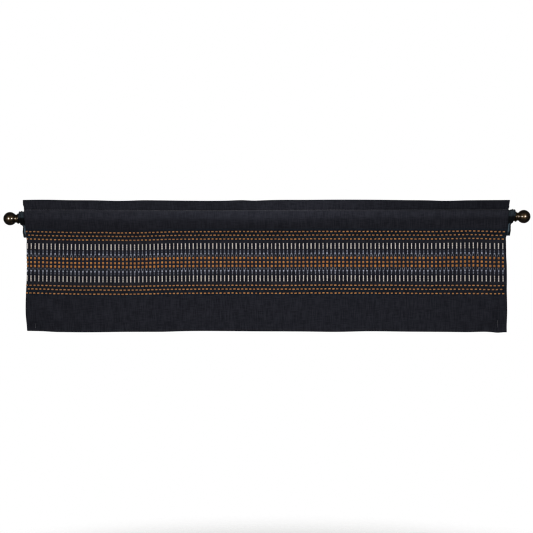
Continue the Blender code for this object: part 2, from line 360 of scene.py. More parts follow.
def casing_grid(offset):
    """One side of the casing's strip, offset from its inner face: back edge, over the rod, front edge.

    Half of a section is an arc round the rod and the straight line from its end to the seam, both moved
    out by the offset. The front half is its mirror image, so both halves meet at the seam. The back half
    bellies out by the slack times a squared sine. Near both ends the part round the rod swells by a bell,
    and is gathered by two sines along it whose phase turns with the height. The last values are how far
    each point is from the nearer end.
    """
    last = leave_angle()
    angle = np.linspace(0.0, last, CASING_ARC_ROWS)
    radius = CASING_INNER + offset
    slope = np.linspace(0.0, 1.0, CASING_SLOPE_ROWS)[1:]
    leave = radius * np.array((math.sin(last), math.cos(last)))
    seam = np.array((CASING_SLIT / 2 + offset, POCKET_SEAM_Z))
    side = np.concatenate((radius * np.sin(angle), leave[0] + slope * (seam[0] - leave[0]), (seam[0],)))
    height = np.concatenate(
        (radius * np.cos(angle), leave[1] + slope * (seam[1] - leave[1]), (seam[1] - CASING_ALLOWANCE,))
    )
    shift = CASING_SEAM_Y * np.concatenate((0 * angle, slope, (1.0,)))
    depth = np.concatenate(((shift + side)[::-1], (shift - side)[1:]))
    height = np.concatenate((height[::-1], height[1:]))
    front = np.arange(len(height)) > len(side) - 1

    share = np.concatenate(
        (
            np.linspace(0.0, CASING_END_SHARE, CASING_END_COLUMNS, endpoint=False),
            np.linspace(CASING_END_SHARE, 1 - CASING_END_SHARE, CASING_MIDDLE_COLUMNS, endpoint=False),
            np.linspace(1 - CASING_END_SHARE, 1.0, CASING_END_COLUMNS),
        )
    )
    up = np.repeat(height[:, None], len(share), axis=1)
    short = np.where(front, CASING_FRONT_SHORT * ease(height / POCKET_SEAM_Z * 2), 0.0)[:, None]
    left = through(up, CASING_ENDS, 1) + short
    right = through(up, CASING_ENDS, 2) - short
    along = left + (right - left) * share
    belly = np.where(front, 0.0, np.sin(np.pi * np.clip(height / POCKET_SEAM_Z, 0.0, 1.0)) ** 2)
    depth = depth[:, None] + belly[:, None] * through(along, CASING_SLACK, 1)
    to_end = np.minimum(along - left, right - along)
    turns = 2 * np.pi * to_end / GATHER_PITCH
    gathers = np.sin(turns + 1.8 * np.sin(up * 130)) + 0.5 * np.sin(1.7 * turns + up * 310 + 1.0)
    crown = CASING_CROWN * bell(to_end - CASING_CROWN_IN, CASING_CROWN_IN)
    swell = crown + GATHER * gathers * bell(to_end, GATHER_REACH)
    scale = 1 + swell * ease(1.3 + up / ROD_RADIUS) / CASING_INNER
    return np.stack((along, depth * scale, up * scale), axis=2), to_end


def maths(tree, operation, *values):
    """A Math node's result. Each value is a number or another node's output."""
    return wire(tree, "Math", dict(enumerate(values)), operation=operation).outputs["Value"]


def drawn_noise(tree, place, per_x, per_y, detail):
    """Flat noise with so many waves a metre each way, so that it is drawn out along one of them."""
    stretch = wire(tree, "Mapping", {"Vector": place, "Scale": (per_x, per_y, 1.0)})
    return noise(tree, stretch.outputs["Vector"], 1.0, detail, noise_dimensions="2D")


def woven(name, dark, light, yarn, bump, **even):
    """Plain weave with slubs.

    The base colour goes from dark to light by three noises: warp slubs 2.4 yarns wide and 36 mm long, weft
    slubs 26 mm long and 2.2 yarns wide, and clouds of 22 by 30 mm. The bump adds the yarns' own ridges: a
    sine across the warp times a sine across the weft, one yarn's width apart.
    """
    material, tree = finish_of(name, **even)
    place = wire(tree, "UVMap", uv_map="cloth").outputs["UV"]
    warp_slubs = drawn_noise(tree, place, 1 / (2.4 * yarn), 1 / 0.036, 2.0)
    weft_slubs = drawn_noise(tree, place, 1 / 0.026, 1 / (2.2 * yarn), 2.0)
    clouds = drawn_noise(tree, place, 1 / 0.022, 1 / 0.030, 3.0)
    slubs = maths(tree, "MULTIPLY_ADD", weft_slubs, 0.35, maths(tree, "MULTIPLY", warp_slubs, 0.46))
    tone = maths(tree, "MULTIPLY_ADD", clouds, 0.19, slubs)
    split = wire(tree, "SeparateXYZ", {"Vector": place}).outputs
    ridges = [maths(tree, "SINE", maths(tree, "MULTIPLY", split[axis], math.pi / yarn)) for axis in "XY"]
    height = maths(tree, "MULTIPLY_ADD", maths(tree, "MULTIPLY", *ridges), 0.30, slubs)
    dress(tree, graded(tree, tone, (0.40, dark), (0.60, light)), height, bump, 0.5 * yarn)
    return material


def tinted(material, colour):
    """Multiplies a woven material's base colour by another colour socket of its tree."""
    tree = material.node_tree
    socket = tree.nodes["Principled BSDF"].inputs["Base Color"]
    mix = wire(tree, "Mix", data_type="RGBA", blend_type="MULTIPLY")
    mix.inputs["Factor"].default_value = 1.0
    tree.links.new(socket.links[0].from_socket, mix.inputs["A"])
    tree.links.new(colour, mix.inputs["B"])
    tree.links.new(mix.outputs["Result"], socket)


def fading(points, to_end):
    """How light the lining is drawn, from 0 to 1, by soft steps of the height and of the way to an end.

    At both ends it has painted shade below the rod's middle and along its crown, and painted light on the
    strips that hang below the rod, apart from painted shade at their edges and their lower part.
    """
    z = points[..., 2]
    near_end = ease((0.023 - to_end) / 0.006)
    # Painted shade below the rod's middle and along its crown
    tube = 0.26 - 0.22 * ease((0.0045 - z) / 0.006) - 0.12 * ease((z - 0.0180) / 0.003)
    # Painted light on the strips below the rod, with painted shade at their edges and lower part
    painted_strip_light = ease((to_end - 0.0034) / 0.0016) * ease((0.0098 - to_end) / 0.0016)
    strip = 0.14 + 1.10 * painted_strip_light * (1 - 0.7 * ease((-0.0465 - z) / 0.003))
    below = ease((-0.0195 - z) / 0.0045)
    return 0.26 * (1 - near_end) + (tube * (1 - below) + strip * below) * near_end


casing_cotton = woven(
    "lining_cotton",
    (0.029, 0.042, 0.057),
    (0.094, 0.132, 0.163),
    0.0008,
    0.6,
    Roughness=0.85,
    Sheen_Weight=0.03,
    Sheen_Roughness=0.5,
    Specular_IOR_Level=0.10,
)
# The lining's colour is multiplied by painted shade under the rod and along its crown near both ends, and by
# painted light on the strips below it
tinted(casing_cotton, wire(casing_cotton.node_tree, "Attribute", attribute_name="fading").outputs["Color"])
casing_outer, casing_to_end = casing_grid(CASING_CLOTH)
casing_inner, _ = casing_grid(0.0)
casing = add_piece(
    "cloth_casing",
    np.stack((casing_outer, casing_inner)),
    shell(casing_outer, casing_inner),
    casing_cotton,
    cloth_places(casing_outer),
    fading=np.stack((fading(casing_outer, casing_to_end), fading(casing_inner, casing_to_end))),
)
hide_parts("casing")


# Panel
# One length of heavy charcoal cotton, woven with slubs. Its sides are turned in and hemmed, its top is
# folded back into a doubled header, and its lower edge is turned up into a deep hem.

PANEL_CLOTH = 0.0014
LAYER_GAP = 0.0002
DOUBLED = 2 * PANEL_CLOTH + LAYER_GAP
CORNER_STACK = 2 * DOUBLED + LAYER_GAP
HEADER_FRONT = -0.0021
PANEL_STAND = 0.0018
POCKET_RADIUS = CASING_INNER + CASING_CLOTH + SEWN_GAP + PANEL_STAND
SEAM_FRONT = CASING_SEAM_Y - CASING_SLIT / 2 - CASING_CLOTH - SEWN_GAP - PANEL_STAND
PANEL_HALF = 0.75
SIDE_HEM_LEFT = 0.014
SIDE_HEM_RIGHT = 0.028
SIDE_HEM_STEP = 0.003
LOWER_HEM = 0.041
HEADER_TAIL = 0.0014
PANEL_COLUMNS = 300
HEADER_BACK_ROWS = 5
HEADER_FRONT_ROWS = 8
RISE_ROWS = 4
ARC_ROWS = 16
SLOPE_ROWS = 14
HANG_ROWS = 60
HEM_BACK_ROWS = 8
FOLD_STEPS = 7

# Its long lines as it hangs, unevenly: place along the rod, top fold, header seam and lower edge
PANEL_LINES = (
    (-0.752, 0.0579, 0.0268, -0.349), (-0.7, 0.0584, 0.0267, -0.3502), (-0.665, 0.0581, 0.0266, -0.3524),
    (-0.62, 0.0569, 0.0264, -0.3532), (-0.53, 0.0559, 0.0258, -0.3534), (-0.45, 0.0539, 0.0248, -0.3528),
    (-0.375, 0.0555, 0.0241, -0.3529), (-0.33, 0.0549, 0.0232, -0.353), (-0.25, 0.0535, 0.0229, -0.3512),
    (-0.12, 0.0531, 0.023, -0.3518), (-0.075, 0.0545, 0.023, -0.3523), (-0.038, 0.053, 0.023, -0.3527),
    (0.0, 0.0542, 0.023, -0.353), (0.038, 0.055, 0.023, -0.3532), (0.12, 0.0549, 0.0232, -0.354),
    (0.215, 0.0551, 0.0232, -0.3556), (0.32, 0.0542, 0.0231, -0.3541), (0.43, 0.0521, 0.0229, -0.3556),
    (0.5, 0.051, 0.0228, -0.3563), (0.545, 0.0494, 0.0227, -0.3568), (0.62, 0.0506, 0.0228, -0.3581),
    (0.7, 0.0509, 0.0229, -0.3584), (0.72, 0.0509, 0.0229, -0.3605), (0.742, 0.0512, 0.0229, -0.3594),
)

# Side edges: height, then the left and the right edge
PANEL_EDGES = (
    (0.058, -0.7565, 0.7512), (0.05, -0.7566, 0.7514), (0.042, -0.7561, 0.751),
    (0.035, -0.754, 0.7508), (0.029, -0.754, 0.7514), (0.024, -0.753, 0.75),
    (0.01, -0.75, 0.746), (-0.03, -0.7462, 0.7454), (-0.048, -0.7464, 0.7447),
    (-0.0575, -0.7465, 0.7436), (-0.0625, -0.7452, 0.7416), (-0.078, -0.7457, 0.7414),
    (-0.105, -0.7456, 0.7418), (-0.124, -0.7453, 0.7421), (-0.145, -0.7446, 0.7433),
    (-0.175, -0.7459, 0.7439), (-0.2, -0.7472, 0.744), (-0.225, -0.7486, 0.7437),
    (-0.26, -0.7503, 0.7445), (-0.295, -0.7505, 0.745), (-0.32, -0.7488, 0.7446),
    (-0.355, -0.7464, 0.7443),
)

# Header's lean: place along the rod, then how far its top fold is behind its seam
HEADER_LEAN = (
    (-0.755, -0.0045), (-0.56, -0.004), (-0.37, -0.003), (-0.2, -0.007),
    (0.0, -0.001), (0.16, 0.001), (0.3, -0.004), (0.42, -0.0125),
    (0.62, -0.0165), (0.755, -0.018),
)

# Pocket below the rod: place along the rod, then how full the cloth is between rod and seam
POCKET_FULLNESS = (
    (-0.75, 0.003), (-0.6, 0.0052), (-0.44, 0.0068), (-0.34, 0.0048),
    (-0.06, 0.007), (0.12, 0.0062), (0.3, 0.005), (0.56, 0.0044),
    (0.75, 0.003),
)

# Soft folds of the hanging part: middle, half width, and push at the lower edge, back where positive
PANEL_FOLDS = (
    (-0.75, 0.042, 0.0065), (-0.63, 0.048, 0.0042), (-0.55, 0.05, -0.0034), (-0.35, 0.11, -0.0026),
    (-0.15, 0.09, 0.0024), (0.06, 0.1, -0.0026), (0.28, 0.11, 0.0024), (0.49, 0.07, -0.003),
    (0.61, 0.05, 0.0038), (0.69, 0.034, -0.003), (0.748, 0.034, 0.006),
)

# Middle row of the band as the cloth hangs: place, its height, and how much the rows below it spread
BAND_LINE = (
    (-0.77, -0.1345, -0.004), (-0.741, -0.135, -0.004), (-0.654, -0.1373, -0.004), (-0.586, -0.1388, 0.0),
    (-0.517, -0.1392, 0.0), (-0.449, -0.1403, -0.003), (-0.381, -0.1399, -0.006), (-0.313, -0.1381, 0.0),
    (-0.245, -0.1376, 0.002), (-0.14, -0.1375, 0.002), (-0.04, -0.1381, 0.001), (0.06, -0.1385, 0.003),
    (0.165, -0.1383, 0.002), (0.301, -0.1391, 0.005), (0.437, -0.1396, 0.008), (0.506, -0.1402, 0.013),
    (0.574, -0.1394, 0.022), (0.642, -0.1388, 0.034), (0.71, -0.1412, 0.018), (0.77, -0.1412, 0.014),
)

# Creases: middle (x, z), half length, degrees from upright, half width and depth
CREASES = (
    (-0.653, -0.269, 0.036, 32.0, 0.009, 0.0028), (-0.6, -0.292, 0.034, 24.0, 0.007, -0.0014),
    (-0.57, -0.287, 0.09, 88.0, 0.018, 0.002), (-0.7, -0.35, 0.06, 80.0, 0.023, 0.0056),
    (-0.57, -0.285, 0.045, 6.0, 0.007, 0.0013), (-0.54, -0.296, 0.04, 12.0, 0.008, -0.0014),
    (-0.495, -0.284, 0.04, -14.0, 0.01, 0.0012), (-0.33, -0.306, 0.036, 18.0, 0.012, 0.0012),
    (-0.17, -0.288, 0.1, 92.0, 0.018, 0.0013), (-0.185, -0.298, 0.04, -22.0, 0.011, 0.0014),
    (-0.075, -0.308, 0.034, 16.0, 0.009, 0.0013), (-0.03, -0.29, 0.036, -12.0, 0.013, -0.0014),
    (0.14, -0.302, 0.04, 24.0, 0.012, 0.0012), (0.315, -0.294, 0.044, -16.0, 0.012, 0.0013),
    (0.43, -0.304, 0.036, 14.0, 0.011, -0.0014), (0.656, -0.28, 0.044, 58.0, 0.008, 0.0022),
    (0.69, -0.302, 0.034, 52.0, 0.0065, 0.0022), (0.708, -0.278, 0.03, 40.0, 0.008, -0.0018),
    (0.705, -0.348, 0.055, 102.0, 0.025, 0.008), (-0.205, 0.043, 0.014, 26.0, 0.008, 0.002),
    (-0.178, 0.04, 0.014, -30.0, 0.007, -0.0015), (-0.008, 0.042, 0.014, 34.0, 0.007, 0.0024),
    (0.018, 0.04, 0.014, -26.0, 0.008, -0.0015), (0.44, 0.038, 0.04, 78.0, 0.005, 0.0012),
    (0.62, 0.04, 0.044, 84.0, 0.005, 0.0013), (0.718, 0.038, 0.018, 26.0, 0.006, 0.0018),
    (-0.505, -0.016, 0.02, 38.0, 0.009, 0.0017), (-0.465, -0.024, 0.022, -34.0, 0.01, 0.0015),
    (-0.31, -0.022, 0.02, 30.0, 0.011, 0.0015), (-0.46, -0.024, 0.16, 90.0, 0.017, -0.001),
    (0.0, -0.024, 0.15, 90.0, 0.017, -0.0038), (0.64, -0.019, 0.13, 90.0, 0.017, 0.0034),
    (0.21, -0.024, 0.022, -32.0, 0.012, 0.0015), (0.37, -0.02, 0.02, 36.0, 0.011, 0.0017),
    (0.66, -0.02, 0.022, -28.0, 0.009, 0.0015), (0.715, -0.006, 0.024, 20.0, 0.006, 0.0016),
)
PUCKER = 0.00022
HEM_STEP = 0.0003
HEM_SAG = 0.0008
HEM_OVER_CASING = 0.0010
SEAM_PINCH = 0.0008
HEM_RIDGE = 0.0003
HEM_LIFT_END = -0.085
LOWER_SEAM_DOWN = 0.002
FULLEST_Z = -0.013
BAND_REACH = 0.12


def puckers(x):
    """Small gathers along a seam: three sines of unlike length, so that they don't repeat."""
    return np.sin(x * 301) + 0.7 * np.sin(x * 433 + 1.3) + 0.6 * np.sin(x * 197 + 4.1)


def relief(x, z):
    """How far creases and gathers push the whole cloth back at x and z.

    A crease is its depth times a bell across it and a bell along it. Gathers fade away from their seam. The
    pocket is fuller than a taut cloth, by a bell round a line at the rod's front that is wider below it.
    """
    seam = through(x, PANEL_LINES, 2)
    hem = through(x, PANEL_LINES, 3) + LOWER_HEM
    push = PUCKER * puckers(x) * (bell(z - POCKET_SEAM_Z, 0.014) + 0.6 * bell(z - seam, 0.006))
    push = push + 0.5 * PUCKER * puckers(x * 0.8 + 2) * bell(z - hem, 0.010)
    half_height = np.where(z > FULLEST_Z, 0.020, 0.027)
    push = push - through(x, POCKET_FULLNESS, 1) * bell(z - FULLEST_Z, half_height)
    for middle_x, middle_z, half_length, lean, half_width, depth in CREASES:
        turn = math.radians(lean)
        across = (x - middle_x) * math.cos(turn) + (z - middle_z) * math.sin(turn)
        along = (z - middle_z) * math.cos(turn) - (x - middle_x) * math.sin(turn)
        push = push + depth * bell(across, half_width) * bell(along, half_length)
    return push


def over_hems(from_left, from_right):
    """1 over a side hem and 0 between them, by soft steps of the distances from both side edges."""
    left = ease((SIDE_HEM_LEFT - from_left) / SIDE_HEM_STEP)
    return left + ease((SIDE_HEM_RIGHT - from_right) / SIDE_HEM_STEP)


def in_side_hem(x, z):
    """1 over a side hem and 0 between them, at a place on the front as it hangs."""
    return over_hems(x - through(z, PANEL_EDGES, 1), through(z, PANEL_EDGES, 2) - x)


def pinch(x, z):
    """How far seams draw a face into the cloth: narrow bells. A hem's doubled cloth stands out of it.

    Just below its seam the lower hem sags back again, by a soft step.
    """
    hem = through(x, PANEL_LINES, 3) + LOWER_HEM
    push = SEAM_PINCH * (bell(z - through(x, PANEL_LINES, 2), 0.0016) + bell(z - POCKET_SEAM_Z, 0.0018))
    push = push - HEM_STEP * in_side_hem(x, z) + HEM_SAG * ease((hem - 0.004 - z) / 0.013)
    return push - HEM_STEP * ease((hem - z) / 0.004) + HEM_RIDGE * bell(z - hem + LOWER_SEAM_DOWN, 0.0015)


def hang_depth(x, z):
    """The plain hanging part below the pocket's seam: its folds grow from none there to all at the hem."""
    share = (POCKET_SEAM_Z - z) / (POCKET_SEAM_Z - through(x, PANEL_LINES, 3))
    push = np.zeros_like(x)
    for middle, half_width, depth in PANEL_FOLDS:
        push = push + depth * bell(x - middle, half_width)
    return SEAM_FRONT + push * ease(share)


def front_depth(x, z, behind=0.0):
    """Where the front face lies below the rod: the straight slope to the pocket's seam, then the hang.

    The side hems lie on the casing there, which lifts them. On the turned-up hem, which is behind, a seam
    draws the face in from the other side.
    """
    last = leave_angle()
    leave_y = -POCKET_RADIUS * math.sin(last)
    leave_z = POCKET_RADIUS * math.cos(last)
    slope = SEAM_FRONT + (leave_y - SEAM_FRONT) * (z - POCKET_SEAM_Z) / (leave_z - POCKET_SEAM_Z)
    plain = np.where(z > POCKET_SEAM_Z, slope, hang_depth(x, z))
    lift = HEM_OVER_CASING * in_side_hem(x, z) * ease((z - HEM_LIFT_END) / 0.025)
    return plain - lift + relief(x, z) + (1 - 2 * behind) * pinch(x, z)


def panel_columns():
    """Across the cloth, from the left hem's raw edge to the right one's, in three values a column.

    They are the share of the width between the edges, how far the column is moved to the right, and how
    deep the turned-in cloth lies behind the front face.
    """
    turn = np.linspace(np.pi, 0.0, FOLD_STEPS + 2)[1:-1]
    radius = DOUBLED / 2

    def side_hem(width):
        flat = np.linspace(width, radius, 4)
        inset = np.concatenate((flat, radius - radius * np.sin(turn)))
        depth = np.concatenate((np.full(4, DOUBLED), radius * (1 - np.cos(turn))))
        return inset, depth

    left_inset, left_depth = side_hem(SIDE_HEM_LEFT)
    right_inset, right_depth = side_hem(SIDE_HEM_RIGHT)
    share = np.linspace(0.0, 1.0, PANEL_COLUMNS)
    wide = np.concatenate((0 * left_inset, share, 0 * right_inset + 1))
    inset = np.concatenate((left_inset, radius * (1 - 2 * share), -right_inset[::-1]))
    depth = np.concatenate((left_depth, 0 * share, right_depth[::-1]))
    return wide, inset, depth


def panel_grid():
    """The panel's outer face as a grid, from the header's raw edge over the front to the hem's raw edge.

    Each row has a height and a depth, the direction into the cloth there, and how far round a fold the
    cloth has gone: 0 on the front, 1 behind. Behind, the outer face lies a whole stack of layers back, less
    the depth at which the same column lay in front, so a turned-in side hem ends up inside the stack. Rows
    crowd where a seam draws the cloth in.
    """
    wide, inset, hem_depth = panel_columns()
    x0 = PANEL_HALF * (2 * wide - 1) + inset
    top = through(x0, PANEL_LINES, 1)
    seam = through(x0, PANEL_LINES, 2)
    hem = through(x0, PANEL_LINES, 3)
    lean = through(x0, HEADER_LEAN, 1)
    stack = DOUBLED + (CORNER_STACK - DOUBLED) * over_hems(x0 + PANEL_HALF, PANEL_HALF - x0)
    curl = stack / 2 - hem_depth
    rows = []

    def across(z):
        return through(z, PANEL_EDGES, 1) * (1 - wide) + through(z, PANEL_EDGES, 2) * wide + inset

    def add(z, y=None, into=(1.0, 0.0), behind=0.0):
        z = z + 0 * x0
        x = across(z)
        if y is None:
            y = front_depth(x, z, behind)
        else:
            y = y + relief(x, z) + (1 - 2 * behind) * pinch(x, z)
        depth = hem_depth + (stack - 2 * hem_depth) * behind
        rows.append(np.stack((x, y + depth * into[0], z + depth * into[1]), axis=1))

    def header_y(z):
        return HEADER_FRONT + lean * np.clip((z - seam) / (top - seam), 0.0, 1.0)

    top_turn = top - stack / 2
    fold_turns = np.linspace(0.0, np.pi, FOLD_STEPS + 2)[1:-1]
    add(seam - HEADER_TAIL, header_y(seam), behind=1.0)
    for s in np.concatenate(((1.0, 0.93), np.linspace(0.82, 0.0, HEADER_BACK_ROWS))):
        z = top_turn + (seam - top_turn) * s
        add(z, header_y(z), behind=1.0)
    for turn in fold_turns[::-1]:
        add(top_turn + curl * math.sin(turn), header_y(top_turn), behind=(1 - math.cos(turn)) / 2)
    for s in np.linspace(0.0, 1.0, HEADER_FRONT_ROWS):
        z = top_turn + (seam + 0.0030 - top_turn) * s
        add(z, header_y(z))
    add(seam + 0.0012, header_y(seam))
    add(seam, header_y(seam))

    reach = np.hypot(seam, HEADER_FRONT)
    meet = np.arctan2(-HEADER_FRONT, seam) + np.arccos(np.clip(POCKET_RADIUS / reach, -1.0, 1.0))
    last = leave_angle()
    rising = np.linspace(-1.0, 0.0, RISE_ROWS + 1)[1:]
    for s in np.concatenate((rising, np.linspace(0.0, 1.0, ARC_ROWS + 1)[1:])):
        angle = meet + (last - meet) * max(s, 0.0)
        high = POCKET_RADIUS * np.cos(angle)
        radius = POCKET_RADIUS + HEM_OVER_CASING * in_side_hem(across(high), high)
        rise = max(-s, 0.0)
        y = HEADER_FRONT * rise - radius * np.sin(angle) * (1 - rise)
        add(seam * rise + radius * np.cos(angle) * (1 - rise), y, (np.sin(angle), -np.cos(angle)))
    leave = POCKET_RADIUS * math.cos(last)
    for s in np.concatenate((np.linspace(0.0, 0.94, SLOPE_ROWS)[1:], (0.975,))):
        add(leave + (POCKET_SEAM_Z - leave) * s, into=(math.sin(last), -math.cos(last)))
    add(POCKET_SEAM_Z)
    hem_turn = hem + stack / 2
    for s in np.concatenate(((0.006, 0.014), np.linspace(0.024, 1.0, HANG_ROWS))):
        add(POCKET_SEAM_Z + (hem_turn - POCKET_SEAM_Z) * s)
    for turn in fold_turns:
        add(hem_turn - curl * math.sin(turn), behind=(1 - math.cos(turn)) / 2)
    for s in np.linspace(0.0, 1.0, HEM_BACK_ROWS):
        add(hem_turn + (LOWER_HEM - stack / 2) * s, behind=1.0)
    return np.array(rows)


def unit(vectors):
    """Vectors divided by their lengths."""
    return vectors / np.linalg.norm(vectors, axis=-1, keepdims=True)


def inward(points):
    """Unit vectors into the cloth at a grid's points: the cross product of its column and row directions."""
    return unit(np.cross(np.gradient(points, axis=1), np.gradient(points, axis=0)))


def band_height(x, z):
    """How high a point is above the band's middle row."""
    return z - through(x, BAND_LINE, 1)


def band_tint(tree):
    """The ground weave's tint: darker between the band's floats, partly a darker ground and partly painted
    shade from the floats, warmer next to its dashes.

    It is a ramp over the distance from the middle row, where 1 is BAND_REACH away.
    """
    height = wire(tree, "Attribute", attribute_name="band").outputs["Fac"]
    place = maths(tree, "DIVIDE", maths(tree, "ABSOLUTE", height), BAND_REACH)
    blue = (0.58, 0.88, 1.00)
    warm = (0.86, 0.78, 0.72)
    # Darker ground with painted shade from the floats, between the bars
    dark_ground_and_painted_shade = (0.42, 0.45, 0.58)
    loose = (1.05, 1.05, 1.05)
    stops = [
        (0.12, (0.84, 1.04, 1.16)),
        (0.17, (0.70, 0.72, 0.84)),
        (0.33, (0.76, 0.75, 0.84)),
        (0.37, dark_ground_and_painted_shade),
        (0.47, dark_ground_and_painted_shade),
        (0.51, loose),
        (0.555, loose),
    ]
    for row in (0.598, 0.695, 0.794):
        stops += [(row - 0.030, blue), (row - 0.008, warm), (row + 0.008, warm), (row + 0.030, blue)]
    return graded(tree, place, *stops, (0.88, (1.0, 1.0, 1.0)))


charcoal_cotton = woven(
    "charcoal_cotton",
    (0.0092, 0.0097, 0.0138),
    (0.0189, 0.0195, 0.0262),
    0.0010,
    0.5,
    Roughness=0.9,
    Sheen_Weight=0.03,
    Sheen_Roughness=0.5,
    Specular_IOR_Level=0.08,
)
# The band's ground is darkened between its floats, partly by painted shade
tinted(charcoal_cotton, band_tint(charcoal_cotton.node_tree))
panel_outer = panel_grid()
panel_inner = panel_outer + PANEL_CLOTH * inward(panel_outer)
panel_points = np.stack((panel_outer, panel_inner))
panel = add_piece(
    "cloth_panel",
    panel_points,
    shell(panel_outer, panel_inner),
    charcoal_cotton,
    cloth_places(panel_outer),
    band=band_height(panel_points[..., 0], panel_points[..., 2]),
)
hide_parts("panel")


# Border band
# Thick cotton yarns woven in across the panel. They come to the front in short floats: three rows of rust
# dashes above and below, cream bars, slate tapers, and three rows of orange squares in the middle. Between
# the floats each yarn runs behind the cloth, so the back shows the pattern the other way about.

FLOAT_SUNK = 0.0004
FLOAT_THICK = 0.0012
UNDER_REACH = 0.0004
BAND_PITCH = 0.0125
LAST_COLUMN = 119
DASH_HALF = (0.0036, 0.0020)
SQUARE_HALF_WIDTH = 0.0033
CREAM_LOBE = 0.0062
CREAM_HALF = (0.0017, 0.51 * CREAM_LOBE)
SLATE_THICK = 0.0010
STRAND_PITCH = 0.0015
PLACE_SCATTER = 0.00020
HEIGHT_SCATTER = 0.00015
WIDE_SCATTER = 0.06
TALL_SCATTER = 0.04
SHADE_SCATTER = 0.09
FACING = (0, 1, 2, 3)
FLOAT_U = (-1, -0.86, -0.5, 0, 0.5, 0.86, 1)
FLOAT_V = (-1, -0.78, 0, 0.78, 1)

# Pitch of the columns, closer on the left and wider on the right: column, its place at the middle row, and
# how far it leans to the right, in metres a metre
BAND_COLUMNS = (
    (-2.0, -0.77, 0.015), (0.0, -0.7435, 0.015), (1.0, -0.7318, 0.015), (5.0, -0.6825, 0.015),
    (9.0, -0.6322, 0.016), (14.74, -0.5613, 0.016), (22.35, -0.4673, 0.002), (30.0, -0.374, -0.005),
    (45.39, -0.1877, -0.001), (60.7, -0.0014, -0.005), (75.83, 0.1844, -0.004), (90.79, 0.3704, -0.005),
    (105.57, 0.5565, -0.002), (119.17, 0.7332, -0.003), (122.0, 0.7702, -0.003),
)

# Rust dashes: height above the middle row, then how many columns they lag at the left and the right end
DASH_ROWS = (
    (0.0943, -0.17, 0.23), (0.0833, -0.57, -0.41), (0.0716, -0.07, 0.02),
    (-0.0719, -0.09, 0.03), (-0.0835, -0.6, -0.45), (-0.0962, -0.14, 0.08),
)

# Orange squares: height and half height
SQUARE_ROWS = ((0.0126, 0.0039), (0.0, 0.0035), (-0.0118, 0.0039))

# Slate tapers, from the bars to the squares: a thin tip, a lighter knot and two legs. Distance from the
# middle row, half height, half width, shade, distance between the legs' middles halved, and taper
SLATE_ROWS = (
    (0.0345, 0.0036, 0.0018, -0.04, 0.0, 0.30),
    (0.0270, 0.0028, 0.0025, 0.34, 0.0, 0.20),
    (0.0205, 0.0036, 0.0015, -0.12, 0.0031, 0.0),
)


def laid_on_front(across, z, lift):
    """Points on the cloth's front, lifted off it, also where the cloth turns back at its side hems.

    Past the start of a fold, the way across the cloth becomes an angle round the fold's radius, and past
    half a turn it runs back towards the middle, behind the front.
    """
    radius = DOUBLED / 2
    side = np.sign(across)
    edge = np.where(across < 0, -through(z, PANEL_EDGES, 1), through(z, PANEL_EDGES, 2)) - radius
    past = np.maximum(np.abs(across) - edge, 0.0)
    turn = np.minimum(past / radius, np.pi)
    flat = np.minimum(np.abs(across), edge)
    back = np.maximum(past - np.pi * radius, 0.0)
    x = side * (flat + (radius + lift) * np.sin(turn) - back)
    y = front_depth(x, z) + radius - (radius + lift) * np.cos(turn)
    return np.stack((x, y, z), axis=-1)


def laid_on_back(across, z, lift):
    """Points on the cloth's back, lifted off it."""
    return np.stack((across, front_depth(across, z) + PANEL_CLOTH + lift, z), axis=-1)


def dome_faces(shape, count, corners):
    """Faces of many like domes: the walls of a grid of points, and one flat face that closes each.

    corners is the order of a wall's corners: FACING when the dome faces a viewer for whom its points run to
    the right and up, and else one that runs round the other way.
    """
    index = np.arange(shape[0] * shape[1]).reshape(shape)
    walls = quads(index[:-1, :-1], index[:-1, 1:], index[1:, 1:], index[1:, :-1])[:, corners]
    rim = np.concatenate((index[0], index[1:, -1], index[-1, -2::-1], index[-2:0:-1, 0]))
    if corners == FACING:
        rim = rim[::-1]
    starts = index.size * np.arange(count)
    return (starts[:, None, None] + walls).reshape(-1, 4).tolist() + (starts[:, None] + rim).tolist()


def floats(across, z, half_width, half_height, thick, behind, taper=0.0, splay=0.0):
    """Short yarn floats: a low dome over a rounded rectangle each, on a grid of FLOAT_U by FLOAT_V.

    With u and v from -1 to 1 over the rectangle, the dome is the square root of 1 - u^4 times that of
    1 - v^4. Its rim lies FLOAT_SUNK deep in the cloth. The width is multiplied by 1 - taper v, and the
    middle is moved by splay v.
    """
    u, v = np.meshgrid(FLOAT_U, FLOAT_V)
    dome = np.sqrt((1 - u**4) * (1 - v**4))

    def spread(values):
        return np.broadcast_to(values, across.shape)[:, None, None]

    grid_x = spread(across) + spread(half_width) * u * np.sqrt(1 - 0.16 * v**2) * (1 - taper * v) + splay * v
    grid_z = spread(z) + spread(half_height) * v * np.sqrt(1 - 0.10 * u**2)
    laid = laid_on_back if behind else laid_on_front
    points = laid(grid_x, grid_z, (spread(thick) + FLOAT_SUNK) * dome - FLOAT_SUNK)
    faces = dome_faces(u.shape, len(across), FACING[::-1] if behind else FACING)
    return points, faces, np.stack((grid_x, grid_z), axis=-1)


